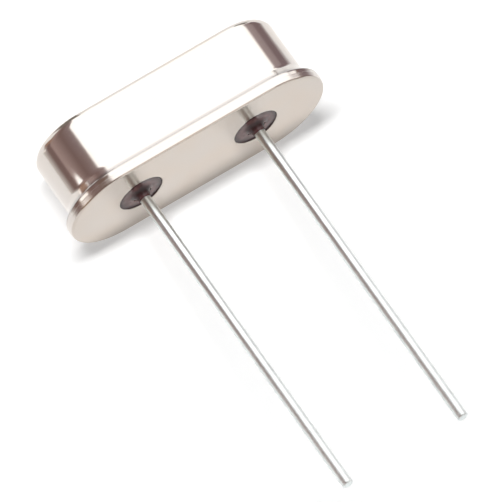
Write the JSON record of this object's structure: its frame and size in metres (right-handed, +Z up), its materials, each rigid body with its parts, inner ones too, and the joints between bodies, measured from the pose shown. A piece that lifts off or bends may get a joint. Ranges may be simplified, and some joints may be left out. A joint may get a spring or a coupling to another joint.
{
  "type": "crystal oscillator",
  "caption": "Quartz crystal unit: low drawn metal can with a welded flange, lying on its broad side, with round wire leads through glass seals in its base",
  "frame": {"origin": "centre of the bounding box's underside: the unit lies on its broad side on the plane z = 0, touching it with the rim's edge and the can's top edge", "axes": "+Y from the lead tips towards the can's top, square to the unit's length; +X along the flange's length; +Z up"},
  "size_m": [0.0108, 0.0172, 0.0045],
  "materials": {
    "nickel_can": "satin nickel plate on drawn sheet",
    "nickel_base": "satin nickel plate on stamped plate",
    "seal_glass": "dark sealing glass, glossy",
    "tinned_wire": "bright tinned wire",
    "spring_strip": "plated copper alloy strip",
    "quartz": "clear etched quartz",
    "silver_film": "evaporated silver",
    "silver_cement": "silver-filled cement, matt"
  },
  "bodies": {
    "root": {"can": "nickel_can", "base": "nickel_base", "glass_seal_left": "seal_glass", "glass_seal_right": "seal_glass", "lead_left": "tinned_wire", "lead_right": "tinned_wire", "clip_left": "spring_strip", "clip_right": "spring_strip", "quartz_blank": "quartz", "electrode_top": "silver_film", "electrode_bottom": "silver_film", "cement_left": "silver_cement", "cement_right": "silver_cement"}
  },
  "joints": []
}
